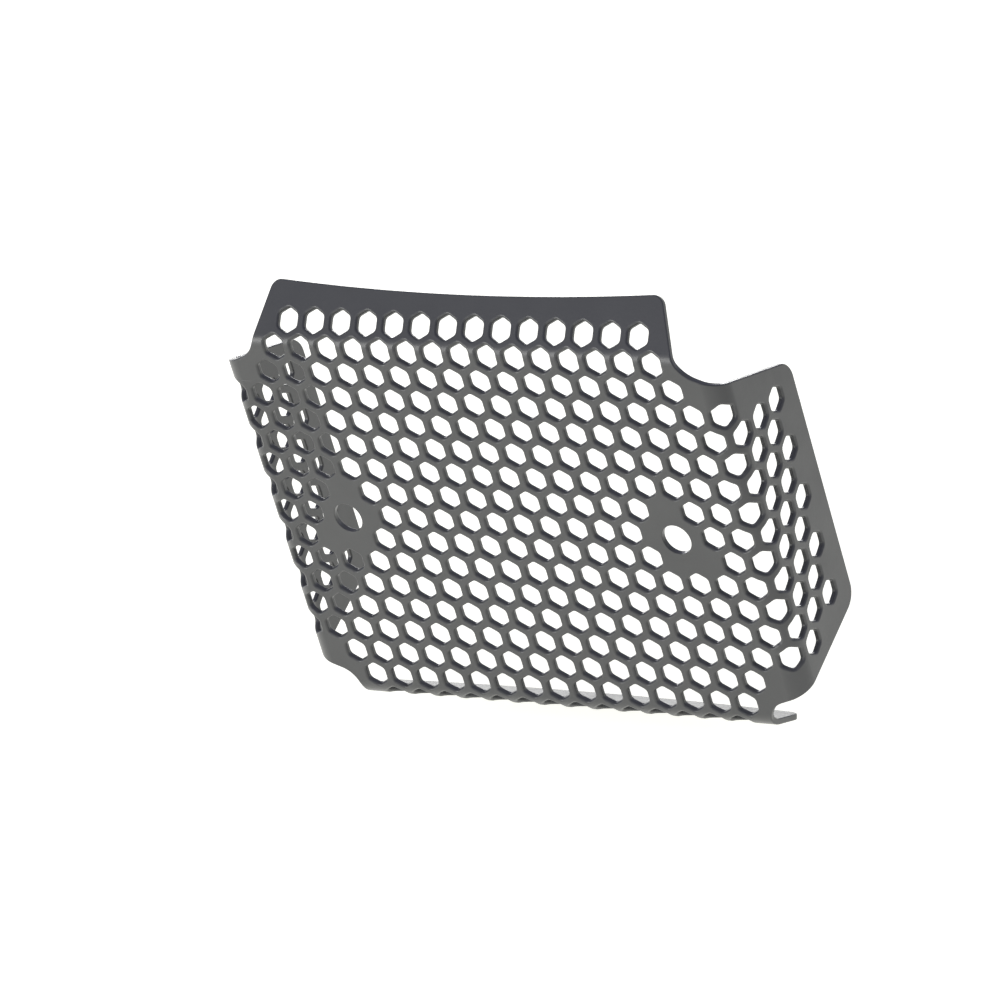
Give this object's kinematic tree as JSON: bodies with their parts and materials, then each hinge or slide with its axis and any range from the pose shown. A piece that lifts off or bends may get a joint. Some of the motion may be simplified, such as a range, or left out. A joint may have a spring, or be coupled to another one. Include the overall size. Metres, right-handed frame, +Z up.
{
  "type": "rectifier guard",
  "caption": "Perforated sheet guard for a motorcycle rectifier: a flat panel of hexagonal holes folded back into two side wings and two flanges, with two bolt holes.",
  "frame": {"origin": "midway between the two bolt holes, on the back of the face panel", "axes": "+X to the right seen from the front, along the line of the bolts; +Y back through the panel, towards the rectifier and the way the wings fold; +Z up, towards the shallow top flange"},
  "size_m": [0.1206, 0.025, 0.1015],
  "materials": {
    "guard_plate": "satin dark grey powder coat"
  },
  "bodies": {
    "root": {"guard_plate": "guard_plate"}
  },
  "joints": []
}
